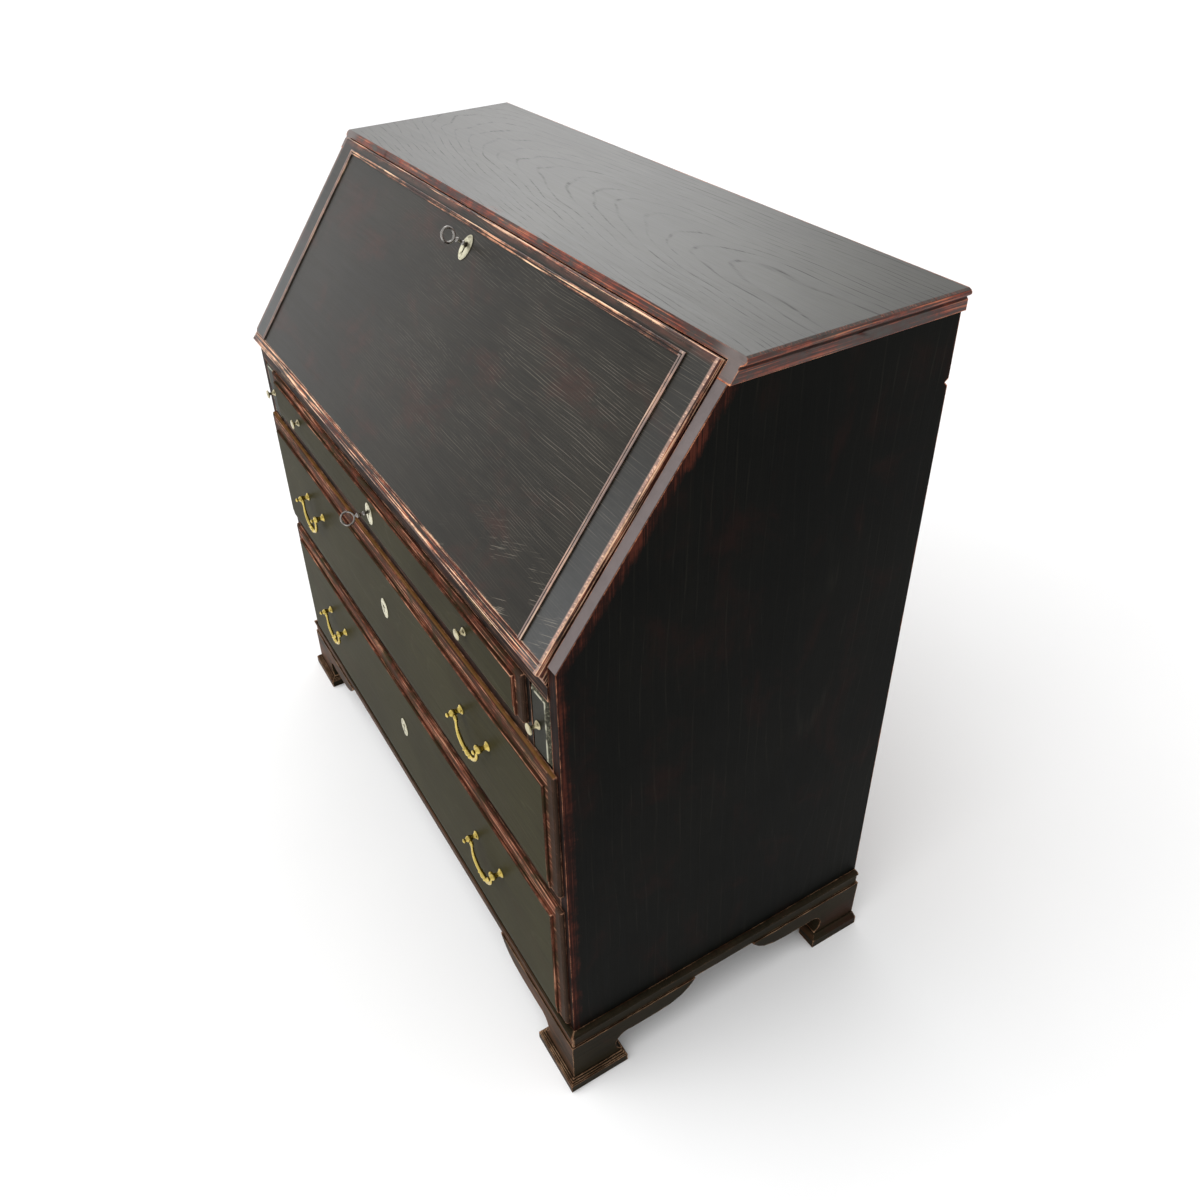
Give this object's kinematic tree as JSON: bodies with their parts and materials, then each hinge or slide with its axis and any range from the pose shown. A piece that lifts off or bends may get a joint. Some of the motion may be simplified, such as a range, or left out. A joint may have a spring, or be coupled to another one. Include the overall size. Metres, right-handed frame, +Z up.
{
  "type": "secretary desk",
  "caption": "Slant-front secretary desk: hinged fall on pull-out lopers over full-width drawers, small drawers and pigeonholes inside, bail handles, bracket feet.",
  "frame": {"origin": "on the floor, under the middle of the desk's overall box at rest, keys and feet included", "axes": "+Z up; the drawers and the fall face -Y; +X is to the right of someone facing the front"},
  "size_m": [1.012, 0.5334, 1.01],
  "materials": {
    "oak_dark": "dark stained oak, waxed and worn through along its edges",
    "oak_inner": "unstained brown oak, dry",
    "brass": "rubbed brass",
    "steel": "handled steel"
  },
  "bodies": {
    "case": {"gable_left": "oak_dark", "gable_right": "oak_dark", "top_board": "oak_dark", "back_panel": "oak_inner", "bottom_board": "oak_dark", "plinth_left": "oak_dark", "plinth_right": "oak_dark", "plinth_front": "oak_dark", "foot_front_left": "oak_dark", "foot_front_right": "oak_dark", "foot_rear_left": "oak_dark", "foot_rear_right": "oak_dark", "writing_board": "oak_dark", "rail_upper": "oak_dark", "rail_middle": "oak_dark", "partition_left": "oak_dark", "partition_right": "oak_dark", "gallery": "oak_inner", "hinge_case_leaf_left": "brass", "hinge_case_leaf_right": "brass"},
    "fall": {"fall_board": "oak_dark", "fall_bead": "oak_dark", "fall_escutcheon": "brass", "fall_lock": "steel", "hinge_fall_leaf_left": "brass", "hinge_fall_leaf_right": "brass"},
    "fall_key": {"fall_key": "steel"},
    "fall_bolt": {"fall_bolt": "steel"},
    "drawer_1": {"drawer_1_front": "oak_dark", "drawer_1_box": "oak_inner", "drawer_1_escutcheon": "brass", "drawer_1_knob_left": "brass", "drawer_1_knob_right": "brass", "drawer_1_lock": "steel"},
    "drawer_1_key": {"drawer_1_key": "steel"},
    "drawer_2": {"drawer_2_front": "oak_dark", "drawer_2_box": "oak_inner", "drawer_2_escutcheon": "brass", "drawer_2_post_left_inner": "brass", "drawer_2_post_left_outer": "brass", "drawer_2_post_right_inner": "brass", "drawer_2_post_right_outer": "brass"},
    "drawer_2_bail_left": {"drawer_2_bail_left": "brass"},
    "drawer_2_bail_right": {"drawer_2_bail_right": "brass"},
    "drawer_3": {"drawer_3_front": "oak_dark", "drawer_3_box": "oak_inner", "drawer_3_escutcheon": "brass", "drawer_3_post_left_inner": "brass", "drawer_3_post_left_outer": "brass", "drawer_3_post_right_inner": "brass", "drawer_3_post_right_outer": "brass"},
    "drawer_3_bail_left": {"drawer_3_bail_left": "brass"},
    "drawer_3_bail_right": {"drawer_3_bail_right": "brass"},
    "loper_left": {"loper_left": "oak_dark", "loper_knob_left": "brass"},
    "loper_right": {"loper_right": "oak_dark", "loper_knob_right": "brass"},
    "gallery_drawer_left": {"gallery_drawer_left": "oak_inner"},
    "gallery_drawer_middle": {"gallery_drawer_middle": "oak_inner"},
    "gallery_drawer_right": {"gallery_drawer_right": "oak_inner"}
  },
  "joints": [
    {"name": "fall_hinge", "type": "hinge", "parent": "case", "child": "fall", "pos_m": [0, -0.21861, 0.703], "axis": [1, 0, 0], "range_deg": [0, 126.24]},
    {"name": "fall_key_turn", "type": "hinge", "parent": "fall", "child": "fall_key", "pos_m": [-0.006, -0.04615, 0.97377], "axis": [0, -0.8065, 0.5912], "range_deg": [0, 75]},
    {"name": "fall_bolt_slide", "type": "slide", "parent": "fall", "child": "fall_bolt", "axis": [0, 0.5912, 0.8065], "range_m": [0, 0.00785]},
    {"name": "drawer_1_slide", "type": "slide", "parent": "case", "child": "drawer_1", "axis": [0, -1, 0], "range_m": [0, 0.24]},
    {"name": "drawer_1_key_turn", "type": "hinge", "parent": "drawer_1", "child": "drawer_1_key", "pos_m": [0, -0.22629, 0.648], "axis": [0, -1, 0], "range_deg": [-38, 52]},
    {"name": "drawer_2_slide", "type": "slide", "parent": "case", "child": "drawer_2", "axis": [0, -1, 0], "range_m": [0, 0.3]},
    {"name": "drawer_2_bail_left_swing", "type": "hinge", "parent": "drawer_2", "child": "drawer_2_bail_left", "pos_m": [-0.29, -0.23829, 0.494], "axis": [-1, 0, 0], "range_deg": [-10, 85]},
    {"name": "drawer_2_bail_right_swing", "type": "hinge", "parent": "drawer_2", "child": "drawer_2_bail_right", "pos_m": [0.29, -0.23829, 0.494], "axis": [-1, 0, 0], "range_deg": [-10, 85]},
    {"name": "drawer_3_slide", "type": "slide", "parent": "case", "child": "drawer_3", "axis": [0, -1, 0], "range_m": [0, 0.3]},
    {"name": "drawer_3_bail_left_swing", "type": "hinge", "parent": "drawer_3", "child": "drawer_3_bail_left", "pos_m": [-0.29, -0.23829, 0.256], "axis": [-1, 0, 0], "range_deg": [-10, 85]},
    {"name": "drawer_3_bail_right_swing", "type": "hinge", "parent": "drawer_3", "child": "drawer_3_bail_right", "pos_m": [0.29, -0.23829, 0.256], "axis": [-1, 0, 0], "range_deg": [-10, 85]},
    {"name": "loper_left_slide", "type": "slide", "parent": "case", "child": "loper_left", "axis": [0, -1, 0], "range_m": [0, 0.28]},
    {"name": "loper_right_slide", "type": "slide", "parent": "case", "child": "loper_right", "axis": [0, -1, 0], "range_m": [0, 0.28]},
    {"name": "gallery_drawer_left_slide", "type": "slide", "parent": "case", "child": "gallery_drawer_left", "axis": [0, -1, 0], "range_m": [0, 0.14]},
    {"name": "gallery_drawer_middle_slide", "type": "slide", "parent": "case", "child": "gallery_drawer_middle", "axis": [0, -1, 0], "range_m": [0, 0.14]},
    {"name": "gallery_drawer_right_slide", "type": "slide", "parent": "case", "child": "gallery_drawer_right", "axis": [0, -1, 0], "range_m": [0, 0.14]}
  ],
  "couplings": [
    {"joint": "fall_key_turn", "follows": "fall_bolt_slide", "rad_per_m": 166.67}
  ]
}
